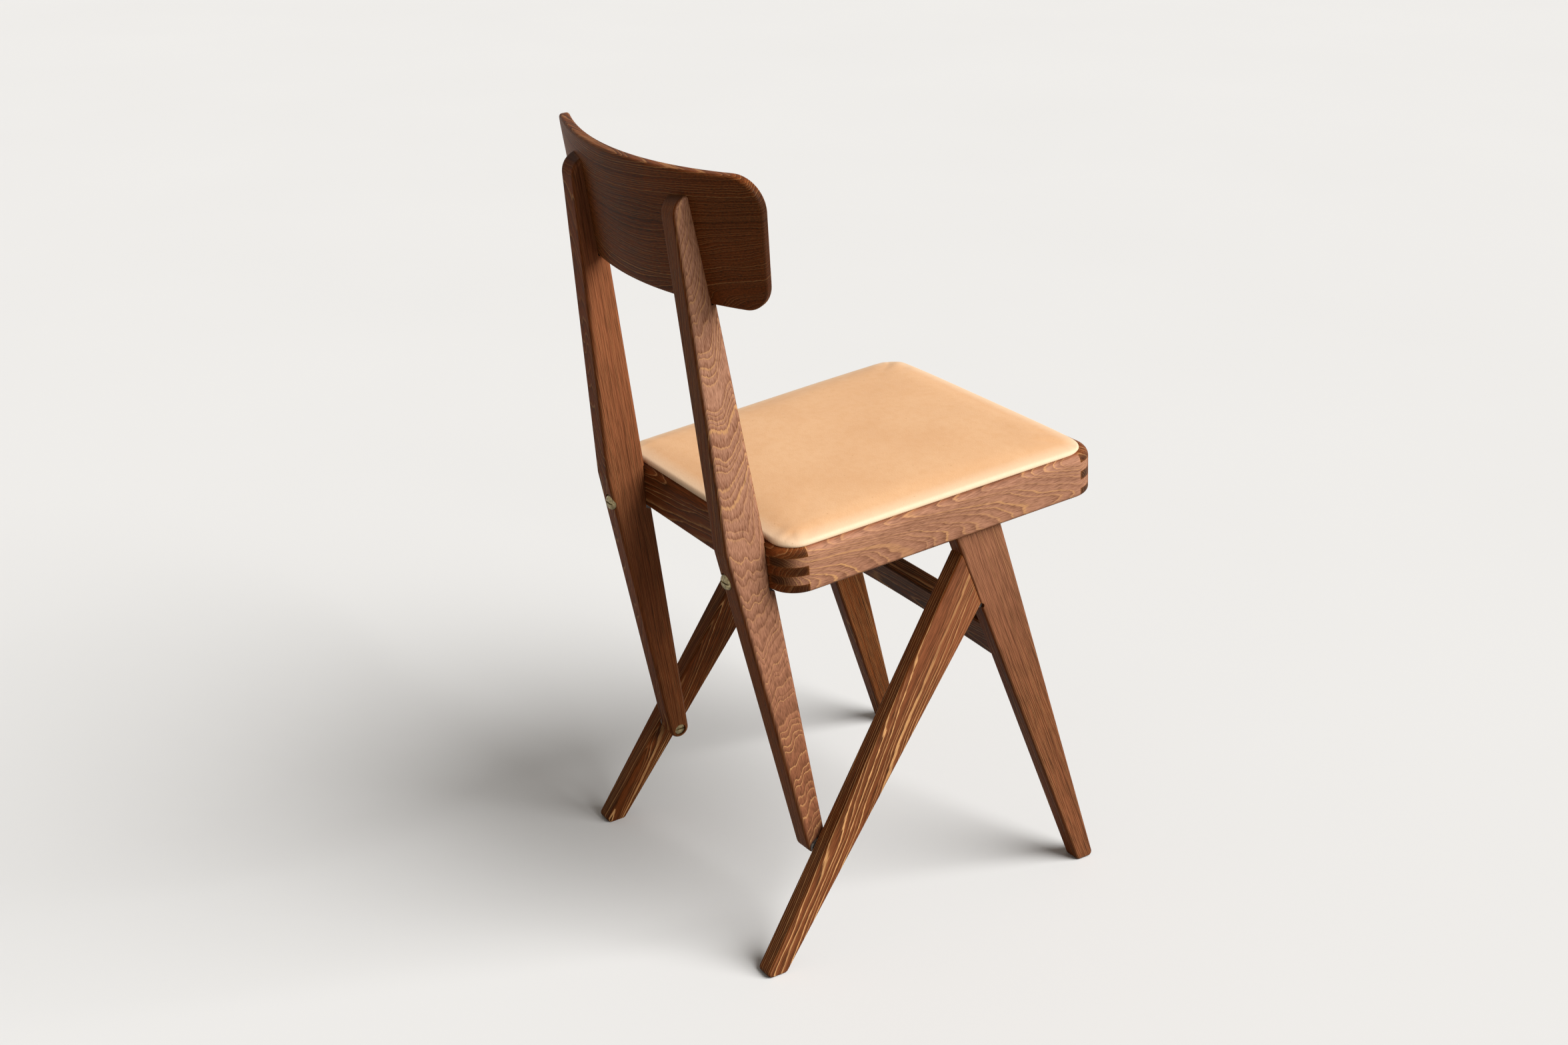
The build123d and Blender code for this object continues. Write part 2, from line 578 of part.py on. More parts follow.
def leaf_solids(low, high, owned):
    """A leaf between two distances behind the front leg's rear edge, with its knuckles."""
    middle = (low + high) / 2
    length = leaf_length
    plate = shoulder_frame * Pos(length / 2, 0, middle) * Box(length, leaf_width, high - low)
    recess = shoulder_frame * Pos(length / 2, 0, middle) * Box(
        length + 2 * leaf_clearance, leaf_width + 2 * leaf_clearance, high - low)
    plate = plate - rod_x(0, reach, crotch, knuckle_groove_radius)
    leaf = plate
    for index in owned:
        low_x = knuckle_low + index * knuckle_step + knuckle_gap / 2
        high_x = low_x + knuckle_step - knuckle_gap
        arm = shoulder_frame * Pos(knuckle_groove_radius, 0, middle) * Box(
            2 * knuckle_groove_radius, reach, high - low)
        arm = arm & block((low_x, high_x), (-reach, reach), (0, reach))
        leaf = leaf + arm + rod_x(low_x, high_x, crotch, knuckle_radius)
    bore = rod_x(0, reach, crotch, knuckle_pin_radius + running_fit)
    return leaf - bore, recess


def leaf_screw_set(low, high, outward):
    """Screws through a leaf and their holes."""
    screws = []
    for index in range(2):
        run = leaf_screw_first + index * leaf_screw_spacing
        start = low if outward > 0 else high
        plane = shoulder_frame * Location((run, 0, start), (0, 0 if outward > 0 else 180, 0))
        screws.append(plane * extrude(Circle(leaf_screw_radius), leaf_screw_length))
    return screws[0] + screws[1]


rear_span = (shoulder_gap, shoulder_gap + leaf_thickness)
front_span = (-leaf_thickness, 0.0)
leaf_rear, recess_rear = leaf_solids(*rear_span, [0, 2])
leaf_front, recess_front = leaf_solids(*front_span, [1])
screws_rear = leaf_screw_set(*rear_span, 1)
screws_front = leaf_screw_set(*front_span, -1)
rear_leg = rear_leg - groove - recess_rear - screws_rear
front_leg = front_leg - groove - recess_front - screws_front
pieces["compass_leaves_rear"] = both_sides(leaf_rear - screws_rear)
pieces["compass_leaves_front"] = both_sides(leaf_front - screws_front)
pieces["compass_screws_rear"] = both_sides(screws_rear)
pieces["compass_screws_front"] = both_sides(screws_front)
pieces["compass_pins"] = both_sides(rod_x(knuckle_low, knuckle_low + leaf_width, crotch, knuckle_pin_radius))
pieces["rear_leg_left"] = rear_leg
pieces["rear_leg_right"] = mirror(rear_leg, about=Plane.YZ)

# Pegs in the leg heads
cone = loft([Pos(peg_x, head_y, -head_gap) * Circle(peg_base_radius),
             Pos(peg_x, head_y, peg_height) * Circle(peg_tip_radius)])
stem = rod_z(peg_x, head_y, -head_gap - peg_stem_length, -head_gap, peg_stem_radius)
stem_hole = rod_z(peg_x, head_y, -head_gap - peg_stem_length, 1, peg_stem_radius + running_fit)
pieces["seat_pegs"] = seat_place * both_sides(cone + stem)
front_leg = front_leg - seat_place * stem_hole

# Stretcher between the front legs
lean = atan2(front_leg_rear[1][0] - front_leg_rear[0][0], head_z)
stretcher_y = line_y(*front_leg_rear, stretcher_middle_z) - stretcher_set_in - stretcher_thickness / 2
stretcher_place = Location((0, stretcher_y, stretcher_middle_z), (-degrees(lean), 0, 0))
stretcher_half = leg_inner_x((stretcher_y, stretcher_middle_z))
low_z = -stretcher_height / 2
high_z = stretcher_height / 2
arch = ThreePointArc((-stretcher_half, 0, low_z), (0, 0, low_z + stretcher_arch), (stretcher_half, 0, low_z))
long_half = stretcher_half + leg_thickness
outline = [arch, Polyline((stretcher_half, 0, low_z), (long_half, 0, low_z), (long_half, 0, high_z),
                          (-long_half, 0, high_z), (-long_half, 0, low_z), (-stretcher_half, 0, low_z))]
stretcher = extrude(make_face(Curve() + outline), amount=stretcher_thickness / 2, dir=(0, 1, 0), both=True)
broad = stretcher.faces().sort_by(Axis.Y)
stretcher = fillet(broad[0].edges() + broad[-1].edges(), stretcher_edge_round)
beyond_leg = leg_place * block((0, reach), (-reach, reach), (-reach, reach))
stretcher = stretcher_place * stretcher - both_sides(beyond_leg)
stretcher_dowels = []
for shift in (-stretcher_dowel_spacing / 2, stretcher_dowel_spacing / 2):
    at = (stretcher_y + shift * sin(lean), stretcher_middle_z + shift * cos(lean))
    face_x = leg_inner_x(at)
    stretcher_dowels.append(rod_x(face_x - stretcher_dowel_in_rail, face_x + stretcher_dowel_in_leg, at,
                                  stretcher_dowel_radius))
    hole = rod_x(face_x - stretcher_dowel_in_rail - 1, face_x + stretcher_dowel_in_leg + 1, at,
                 stretcher_dowel_radius + running_fit)
    front_leg = front_leg - hole
    stretcher = stretcher - both_sides(hole)
pieces["front_stretcher"] = stretcher
pieces["stretcher_dowels"] = both_sides(stretcher_dowels[0] + stretcher_dowels[1])
pieces["front_leg_left"] = front_leg
pieces["front_leg_right"] = mirror(front_leg, about=Plane.YZ)

os.makedirs("parts", exist_ok=True)
for name, shape in pieces.items():
    export_step(shape, "parts/" + name + ".step")
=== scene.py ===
"""Folding chair in stained beech with a tan leather seat: finishes, seat pad, stage and camera."""

import math

import bmesh
import bpy
from mathutils import Matrix, Vector, noise


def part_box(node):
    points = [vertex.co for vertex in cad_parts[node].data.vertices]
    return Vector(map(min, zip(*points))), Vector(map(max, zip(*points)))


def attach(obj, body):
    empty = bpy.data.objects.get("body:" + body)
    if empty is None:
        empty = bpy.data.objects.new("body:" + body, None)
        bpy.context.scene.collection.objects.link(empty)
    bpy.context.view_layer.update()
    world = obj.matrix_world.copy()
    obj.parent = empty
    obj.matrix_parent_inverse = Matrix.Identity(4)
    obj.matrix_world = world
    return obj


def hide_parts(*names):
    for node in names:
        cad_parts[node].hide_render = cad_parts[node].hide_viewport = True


bl_info = {
    "name": "Folding Chair",
    "version": (1, 0, 0),
    "blender": (4, 5, 0),
    "location": "View3D > Sidebar > Chair",
    "description": "Finishes, seat pad and studio for a folding chair in stained beech",
    "category": "Object",
}

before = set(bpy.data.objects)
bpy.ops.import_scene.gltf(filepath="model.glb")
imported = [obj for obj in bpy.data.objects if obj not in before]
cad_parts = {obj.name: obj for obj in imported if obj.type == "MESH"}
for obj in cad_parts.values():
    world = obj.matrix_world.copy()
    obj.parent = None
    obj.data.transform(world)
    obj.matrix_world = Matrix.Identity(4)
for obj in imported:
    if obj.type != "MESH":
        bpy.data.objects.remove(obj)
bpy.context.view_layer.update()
MM = 0.001


def linear(hex_colour):
    """sRGB hex to the linear values that a colour socket takes."""
    parts = [int(hex_colour[i:i + 2], 16) / 255 for i in (1, 3, 5)]
    return tuple(c / 12.92 if c <= 0.04045 else ((c + 0.055) / 1.055) ** 2.4 for c in parts)


def colour(label, about, hex_colour):
    """A colour that a user may change."""
    return bpy.props.FloatVectorProperty(
        name=label, description=about, subtype="COLOR", size=3, min=0, max=1, default=linear(hex_colour))


def length(label, about, millimetres):
    """A size that a user may change."""
    return bpy.props.FloatProperty(
        name=label, description=about, subtype="DISTANCE", unit="LENGTH", min=0, default=millimetres * MM)


def level(label, about, value):
    """A plain amount that a user may change."""
    return bpy.props.FloatProperty(name=label, description=about, min=0, default=value)


class ChairWoodSettings(bpy.types.PropertyGroup):
    """Stain and raw wood."""

    stain_mid: colour("Stain", "Stain on the softer wood of a growth ring", "#8E4A22")
    stain_deep: colour("Deep stain", "Stain where the fibres drink more of it", "#341B08")
    grain_line: colour("Grain line", "Hard late wood, which takes little stain", "#DBA56E")
    # Painted sheen: paler copies of the two stains, mixed in on faces turned to the key light and more of it
    # high up, standing in for the light's sheen on the finish
    painted_sheen: colour("Faded stain", "Stain bleached on the side that stood at a window", "#D19E82")
    painted_sheen_deep: colour("Faded deep stain", "Deep stain bleached in the same way", "#8A5A42")
    end_grain: colour("End grain", "Stain on cut fibre ends", "#1C100A")
    worn_edge: colour("Worn edge", "Edges rubbed back by use", "#A8652F")
    raw_beech: colour("Raw beech", "Corner blocks and dowels", "#C79C6E")
    raw_line: colour("Raw grain line", "Darker lines in raw beech", "#A97B50")
    veneer: colour("Veneer", "Face of the seat board", "#CFAE80")
    veneer_line: colour("Veneer grain", "Lines in the seat board's face", "#B08A58")
    fibre: length("Fibre width", "Width of the fine streaks along the grain", 0.8)
    vessel: length("Vessel width", "Width of the dark pores, drawn coarser than life so that they show", 0.9)


class ChairPadSettings(bpy.types.PropertyGroup):
    """Leather pad on the seat frame."""

    leather: colour("Leather", "Tan leather", "#EBBB8C")
    leather_deep: colour("Leather, darker", "Patches handled more often", "#DDA877")
    # Pale rim: partly leather drawn thin over the border, partly a painted highlight along the rolled edge
    pale_rim_and_highlight: colour("Leather, stretched", "Leather drawn thin over the border", "#F9E3C6")
    pore: colour("Pore", "Hair pores and small marks", "#A9713F")
    side: length("Side inset", "Pad edge to the side of the frame", 4.5)
    rear: length("Rear inset", "Pad edge to the rear of the frame", 5.5)
    front: length("Front inset", "Pad edge to the front of the frame", 12.0)
    corner: length("Corner radius", "Corner of the pad in plan", 24.0)
    border: length("Border", "Height at which the leather has turned level", 7.6)
    front_border: length("Front border", "The same height in the middle of the front edge", 9.5)
    front_corner: length("Front corners", "The same height at the front corners", 5.0)
    roll: length("Roll", "Width over which the leather turns down to its edge", 19.0)
    crown: length("Crown", "Rise of the middle above the border", 4.2)
    swell: length("Swell", "Most that the filling lifts the leather", 1.6)
    pebble: length("Grain size", "Pebbles of the leather, drawn coarser than life so that they show", 1.6)


class ChairMetalSettings(bpy.types.PropertyGroup):
    """Bolts, screws and hidden hinges."""

    brass: colour("Aged brass", "Rubbed metal of bolts and screws", "#A99A74")
    tarnish: colour("Tarnish", "Grey-brown film on old brass", "#5E5340")
    steel: colour("Blackened steel", "Hinge leaves, links and pins", "#4A4745")
    steel_worn: colour("Worn steel", "Bare metal where it rubs", "#7C7873")


class ChairStageSettings(bpy.types.PropertyGroup):
    """Floor, light and camera."""

    floor: colour("Floor", "Plain pale floor", "#E8E9EA")
    backdrop: colour("Backdrop", "Plain pale backdrop beyond the floor", "#F0EEEB")
    floor_bounce: colour("Floor bounce", "Grey floor that the light bounces from", "#7A7772")
    key_colour: colour("Key colour", "Daylight of the key", "#FFFDFA")
    fill_colour: colour("Fill colour", "Warm light from all round", "#FFF6EA")
    key_level: level("Key", "Light that the key adds to a white card turned to it", 1.36)
    fill_level: level("Fill", "Even light from all round", 0.2)
    lens: bpy.props.FloatProperty(
        name="Lens", description="Focal length on a 36 mm wide sensor", subtype="DISTANCE_CAMERA",
        default=42.22, min=1)


# A Mix node's sockets and settings when it mixes colours
SHARE = 0
LOW = 6
HIGH = 7
COLOURS = {"out": 2, "data_type": "RGBA"}


def add(tree, kind, inputs=None, out=0, stops=None, **settings):
    """Adds a node with its settings and links, and gives one of its outputs."""
    node = tree.nodes.new("ShaderNode" + kind)
    for key, value in settings.items():
        setattr(node, key, value)
    for key, value in (inputs or {}).items():
        socket = node.inputs[key]
        if isinstance(value, bpy.types.NodeSocket):
            tree.links.new(value, socket)
        elif socket.type == "RGBA":
            socket.default_value = (*value[:3], 1.0)
        else:
            socket.default_value = value
    if stops:
        points = node.color_ramp.elements
        while len(points) < len(stops):
            points.new(0.5)
        for point, (position, grey) in zip(points, stops):
            point.position = position
            point.color = (grey, grey, grey, 1.0)
    return None if out is None else node.outputs[out]


def new_material(name, roughness=0.5, metallic=0.0, specular=0.5):
    """An empty material with its shader and output."""
    material = bpy.data.materials.new(name)
    material.use_nodes = True
    tree = material.node_tree
    tree.nodes.clear()
    surface = add(tree, "BsdfPrincipled",
                  {"Roughness": roughness, "Metallic": metallic, "Specular IOR Level": specular})
    add(tree, "OutputMaterial", {"Surface": surface}, None)
    return material, tree, surface.node


class Cut:
    """How a piece was cut from the tree.

    along is the way its fibres run, and heart the side that the tree's heart lies on, at a depth in
    millimetres and leaning by some degrees. ring is the width of a year in millimetres. tone lightens the
    stain, line strengthens the pale lines, and fade is the share of painted sheen, a paler stain that
    stands in for the key light's sheen on the lit faces.
    """

    def __init__(self, along, heart, depth, lean, ring, tone=0.5, line=1.0, fade=0.0):
        self.along = Vector(along).normalized()
        self.heart = Vector(heart)
        self.heart = (self.heart - self.along * self.heart.dot(self.along)).normalized()
        self.depth = depth * MM
        self.lean = math.radians(lean)
        self.ring = ring * MM
        self.tone = tone
        self.line = line
        self.fade = fade

    def axis(self):
        """Direction of the tree's heart."""
        return (self.along + self.heart * math.tan(self.lean)).normalized()

    def mirrored(self, tone, fade=0.0):
        """A like cut on the other side of the chair, further from the heart and with narrower rings."""
        flip = Vector((-1, 1, 1))
        return Cut(self.along * flip, self.heart * flip, self.depth / MM * 1.35, math.degrees(self.lean),
                   self.ring / MM * 0.85, tone, self.line, fade)


# fade sets each piece's share of painted sheen on the faces that the key light falls on
rear_leg_cut = Cut(along=(0.066, -0.63, 1), heart=(1, 0.55, 0.2), depth=38, lean=1.7, ring=2.3,
                   tone=0.62, line=1.5, fade=0.25)
front_leg_cut = Cut(along=(0.066, 0.37, 1), heart=(0.25, 1, -0.3), depth=70, lean=0.7, ring=1.3,
                    tone=0.52, line=0.9, fade=0.5)
side_rail_cut = Cut(along=(0.03, -1, 0.077), heart=(1, 0, -0.35), depth=42, lean=2.4, ring=1.9,
                    tone=0.75, line=1.0, fade=0.85)

# Side whose faces get the painted sheen: the side that the key light falls on
sheen_side = Vector((-1, 0, 0.2)).normalized()

# Each fade below is a share of painted sheen on the lit faces; the pieces on the key light's side take the
# most
STAINED_CUTS = {
    "upright_right": Cut(along=(0.066, 0.165, 1), heart=(1, 0.1, 0), depth=58, lean=-7.5, ring=1.4,
                         tone=0.6, line=0.8, fade=0.88),
    "upright_left": Cut(along=(-0.066, 0.165, 1), heart=(0.15, 1, 0), depth=90, lean=0.7, ring=1.4,
                        tone=0.7, line=0.6, fade=0.16),
    "backrest": Cut(along=(1, 0, 0), heart=(0, -0.75, -1), depth=95, lean=0.9, ring=1.7,
                    tone=0.54, line=0.6),
    "rear_leg_right": rear_leg_cut,
    "rear_leg_left": rear_leg_cut.mirrored(tone=0.5),
    "front_leg_right": front_leg_cut,
    "front_leg_left": front_leg_cut.mirrored(tone=0.48),
    "front_stretcher": Cut(along=(1, 0, 0), heart=(0, 1, -0.4), depth=40, lean=1.4, ring=2.0,
                           tone=0.34, line=0.6),
    "seat_rail_right": side_rail_cut,
    "seat_rail_left": side_rail_cut.mirrored(tone=0.5, fade=0.1),
    "seat_rail_rear": Cut(along=(1, 0, 0), heart=(0, -1, -0.5), depth=44, lean=1.8, ring=2.2,
                          tone=0.6, line=0.7),
    "seat_rail_front": Cut(along=(1, 0, 0), heart=(0, 1, -0.45), depth=44, lean=2.2, ring=2.1,
                           tone=0.5, line=1.0, fade=0.1),
}


# Sizes in the wood
ring_stray = 15 * MM           # how far the rings of a stained piece stray from true circles
raw_stray = 12 * MM            # the same in raw wood
stray_width = 38 * MM          # length over which they stray
feather_width = 1.6 * MM       # small steps in a ring
patch_width = 60 * MM          # patches of stronger and weaker lines
cloud_width = 70 * MM          # patches that took more or less stain
worn_width = 3.5 * MM          # rubbed edges
grain_relief = 0.4 * MM        # depth of the open grain


def centre_of(node):
    """Middle of a node's box."""
    low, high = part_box(node)
    return (low + high) / 2


def grain_space(tree, node, cut):
    """Object coordinates turned so that Z runs along the heart of the tree, in metres."""
    return add(tree, "Mapping",
               {"Vector": add(tree, "TexCoord", out="Object"),
                "Location": centre_of(node) + cut.heart * cut.depth,
                "Rotation": cut.axis().to_track_quat("Z", "Y").to_euler()}, vector_type="TEXTURE")


def fibre_noise(tree, grain, width, drawn_out, detail=2.0, shift=0.0, out=0):
    """Streaks of a width across the grain, drawn out along it."""
    place = add(tree, "Mapping",
                {"Vector": grain, "Scale": (1, 1, 1 / drawn_out), "Location": (shift,) * 3})
    return add(tree, "TexNoise", {"Vector": place, "Scale": 1 / width, "Detail": detail}, out)


def growth_rings(tree, grain, ring, stray):
    """Share of the way through each growth ring, and the ring's number."""
    drift = fibre_noise(tree, grain, stray_width, drawn_out=6.0, detail=2.5, out="Color")
    moved = add(tree, "VectorMath", {0: drift, 1: (stray,) * 3, 2: grain}, operation="MULTIPLY_ADD")
    across = add(tree, "VectorMath", {0: moved, 1: (1, 1, 0)}, operation="MULTIPLY")
    radius = add(tree, "VectorMath", {0: across}, "Value", operation="LENGTH")
    count = add(tree, "Math", {0: radius, 1: 1 / ring}, operation="MULTIPLY")
    years = add(tree, "TexNoise", {"W": count, "Scale": 0.37, "Detail": 1.0}, noise_dimensions="1D")
    uneven = add(tree, "Math", {0: years, 1: 2.4, 2: count}, operation="MULTIPLY_ADD")
    feather = fibre_noise(tree, grain, feather_width, drawn_out=12.0, shift=4.4)
    uneven = add(tree, "Math", {0: feather, 1: 0.35, 2: uneven}, operation="MULTIPLY_ADD")
    share = add(tree, "Math", {0: uneven}, operation="FRACT")
    return share, add(tree, "Math", {0: uneven}, operation="FLOOR")


def painted_sheen_share(tree, fade):
    """Share of painted sheen and painted light from above: faces turned to the key light's side, and more of
    it high up.
    """
    place = add(tree, "TexCoord", out="Object").node.outputs
    facing = add(tree, "VectorMath", {0: place["Normal"], 1: sheen_side}, "Value", operation="DOT_PRODUCT")
    facing = add(tree, "MapRange", {"Value": facing, "From Min": 0.55, "From Max": 0.93, "To Max": fade})
    high = add(tree, "SeparateXYZ", {0: place["Object"]}, "Z")
    high = add(tree, "MapRange", {"Value": high, "From Min": 0.2, "From Max": 0.5, "To Min": 0.3})
    return add(tree, "Math", {0: facing, 1: high}, operation="MULTIPLY")


def stained_beech(node, cut):
    """Beech under a walnut stain and thin oil: soft wood drinks the stain, late wood stays as thin pale
    lines, cut fibre ends turn nearly black, and rubbed edges show warmer wood."""
    wood = bpy.context.scene.chair_wood
    material, tree, shader = new_material("stained_beech_" + node, specular=0.05)
    grain = grain_space(tree, node, cut)
    share, year = growth_rings(tree, grain, cut.ring, ring_stray)

    line = add(tree, "ValToRGB", {"Fac": share},
               stops=[(0.0, 0.3), (0.09, 0.04), (0.5, 0.0), (0.8, 0.02), (0.9, 1.0), (1.0, 0.6)])
    band = add(tree, "ValToRGB", {"Fac": share}, stops=[(0.0, 0.0), (0.3, 0.0), (0.8, 0.35), (0.88, 0.0)])
    ring_share = add(tree, "TexWhiteNoise", {"W": year}, noise_dimensions="1D")
    patch = fibre_noise(tree, grain, patch_width, drawn_out=3.3, detail=1.0, shift=2.1)
    strength = add(tree, "Math", {0: ring_share, 1: 0.55, 2: patch}, operation="MULTIPLY_ADD")
    strength = add(tree, "MapRange", {"Value": strength, "From Min": 0.45, "From Max": 1.1,
                                      "To Min": 0.1, "To Max": 0.95 * cut.line})
    line = add(tree, "Math", {0: line, 1: strength}, operation="MULTIPLY")

    fine = fibre_noise(tree, grain, wood.fibre, drawn_out=28.0, detail=3.0)
    cloud = fibre_noise(tree, grain, cloud_width, drawn_out=2.9, detail=3.0, shift=5.3)
    vessel = fibre_noise(tree, grain, wood.vessel, drawn_out=24.0, detail=1.0, shift=9.7)
    vessel = add(tree, "ValToRGB", {"Fac": vessel}, stops=[(0.0, 0.0), (0.55, 0.0), (0.72, 1.0)])

    depth = add(tree, "Math", {0: fine, 1: 1.6, 2: cut.tone - 1.3}, operation="MULTIPLY_ADD")
    depth = add(tree, "Math", {0: cloud, 1: 1.0, 2: depth}, operation="MULTIPLY_ADD")
    depth = add(tree, "Math", {0: depth, 1: band}, operation="SUBTRACT", use_clamp=True)
    tint = add(tree, "Mix", {SHARE: depth, LOW: wood.stain_deep, HIGH: wood.stain_mid}, **COLOURS)
    pale = add(tree, "Mix", {SHARE: depth, LOW: wood.painted_sheen_deep, HIGH: wood.painted_sheen}, **COLOURS)
    # Painted sheen: the paler stain is mixed in on faces turned to the key light, more of it high up
    tint = add(tree, "Mix", {SHARE: painted_sheen_share(tree, cut.fade), LOW: tint, HIGH: pale}, **COLOURS)
    tint = add(tree, "Mix", {SHARE: line, LOW: tint, HIGH: wood.grain_line}, **COLOURS)
    pores = add(tree, "Math", {0: vessel, 1: 0.35}, operation="MULTIPLY")
    tint = add(tree, "Mix", {SHARE: pores, LOW: tint, HIGH: wood.stain_deep}, **COLOURS)

    facing = add(tree, "VectorMath", {0: add(tree, "TexCoord", out="Normal"), 1: cut.along}, "Value",
                 operation="DOT_PRODUCT")
    ends = add(tree, "Math", {0: facing}, operation="ABSOLUTE")
    ends = add(tree, "MapRange", {"Value": ends, "From Min": 0.5, "From Max": 0.9, "To Max": 0.7})
    tint = add(tree, "Mix", {SHARE: ends, LOW: tint, HIGH: wood.end_grain}, **COLOURS)

    edge = add(tree, "AmbientOcclusion", {"Distance": worn_width}, "AO",
               inside=True, only_local=True, samples=6)
    rub = add(tree, "ValToRGB", {"Fac": edge}, stops=[(0.0, 0.7), (0.35, 0.5), (0.8, 0.0), (1.0, 0.0)])
    rub = add(tree, "Math", {0: rub, 1: patch}, operation="MULTIPLY")
    tint = add(tree, "Mix", {SHARE: rub, LOW: tint, HIGH: wood.worn_edge}, **COLOURS)

    height = add(tree, "Math", {0: line, 1: 0.4, 2: fine}, operation="MULTIPLY_ADD")
    height = add(tree, "Math", {0: vessel, 1: -0.6, 2: height}, operation="MULTIPLY_ADD")
    tree.links.new(tint, shader.inputs["Base Color"])
    tree.links.new(add(tree, "Math", {0: fine, 1: 0.25, 2: 0.38}, operation="MULTIPLY_ADD"),
                   shader.inputs["Roughness"])
    tree.links.new(add(tree, "Bump", {"Strength": 0.22, "Distance": grain_relief, "Height": height}),
                   shader.inputs["Normal"])
    return material


def raw_wood(name, node, cut, base, line_tone):
    """Planed wood with no finish: pale, dull, with soft darker lines and short fibre streaks."""
    wood = bpy.context.scene.chair_wood
    material, tree, shader = new_material(name + "_" + node, roughness=0.62)
    grain = grain_space(tree, node, cut)
    share, _ = growth_rings(tree, grain, cut.ring, raw_stray)
    line = add(tree, "ValToRGB", {"Fac": share},
               stops=[(0.0, 0.07), (0.6, 0.07), (0.95, 0.56), (1.0, 0.14)])
    fine = fibre_noise(tree, grain, wood.fibre, drawn_out=20.0, detail=3.0)
    streak = add(tree, "ValToRGB", {"Fac": fine}, stops=[(0.35, 0.0), (0.75, 0.45)])
    tint = add(tree, "Mix", {SHARE: line, LOW: base, HIGH: line_tone}, **COLOURS)
    tint = add(tree, "Mix", {SHARE: streak, LOW: tint, HIGH: line_tone}, **COLOURS)
    tree.links.new(tint, shader.inputs["Base Color"])
    tree.links.new(add(tree, "Math", {0: fine, 1: 0.2, 2: 0.52}, operation="MULTIPLY_ADD"),
                   shader.inputs["Roughness"])
    tree.links.new(add(tree, "Bump", {"Strength": 0.25, "Distance": grain_relief, "Height": fine}),
                   shader.inputs["Normal"])
    return material


# Sizes on the metal
film_patch = 2.4 * MM
scratch_width = 0.4 * MM
scratch_depth = 0.1 * MM
rubbed_width = 0.8 * MM


def worn_metal(name, base, film, film_share, smooth):
    """Turned metal: rubbed bright on the high spots, dulled by a film in patches, with fine scratches."""
    material, tree, shader = new_material(name, roughness=smooth, metallic=1.0)
    place = add(tree, "TexCoord", out="Object")
    patch = add(tree, "TexNoise", {"Vector": place, "Scale": 1 / film_patch, "Detail": 4.0})
    fine = fibre_noise(tree, place, scratch_width, drawn_out=5.0)
    edge = add(tree, "AmbientOcclusion", {"Distance": rubbed_width}, "AO",
               inside=True, only_local=True, samples=6)
    dull = add(tree, "ValToRGB", {"Fac": patch}, stops=[(0.3, 0.0), (0.62, film_share)])
    bright = add(tree, "ValToRGB", {"Fac": edge}, stops=[(0.2, 0.5), (0.8, 0.0)])
    tint = add(tree, "Mix", {SHARE: dull, LOW: base, HIGH: film}, **COLOURS)
    tint = add(tree, "Mix", {SHARE: bright, LOW: tint, HIGH: base}, **COLOURS)
    tree.links.new(tint, shader.inputs["Base Color"])
    tree.links.new(add(tree, "Math", {0: dull, 1: 0.25, 2: smooth}, operation="MULTIPLY_ADD"),
                   shader.inputs["Roughness"])
    tree.links.new(add(tree, "Bump", {"Strength": 0.15, "Distance": scratch_depth, "Height": fine}),
                   shader.inputs["Normal"])
    return material


# Sizes in the leather
tan_cloud = 90 * MM
tan_mottle = 7.5 * MM
pore_spacing = 15 * MM
pebble_relief = 0.35 * MM


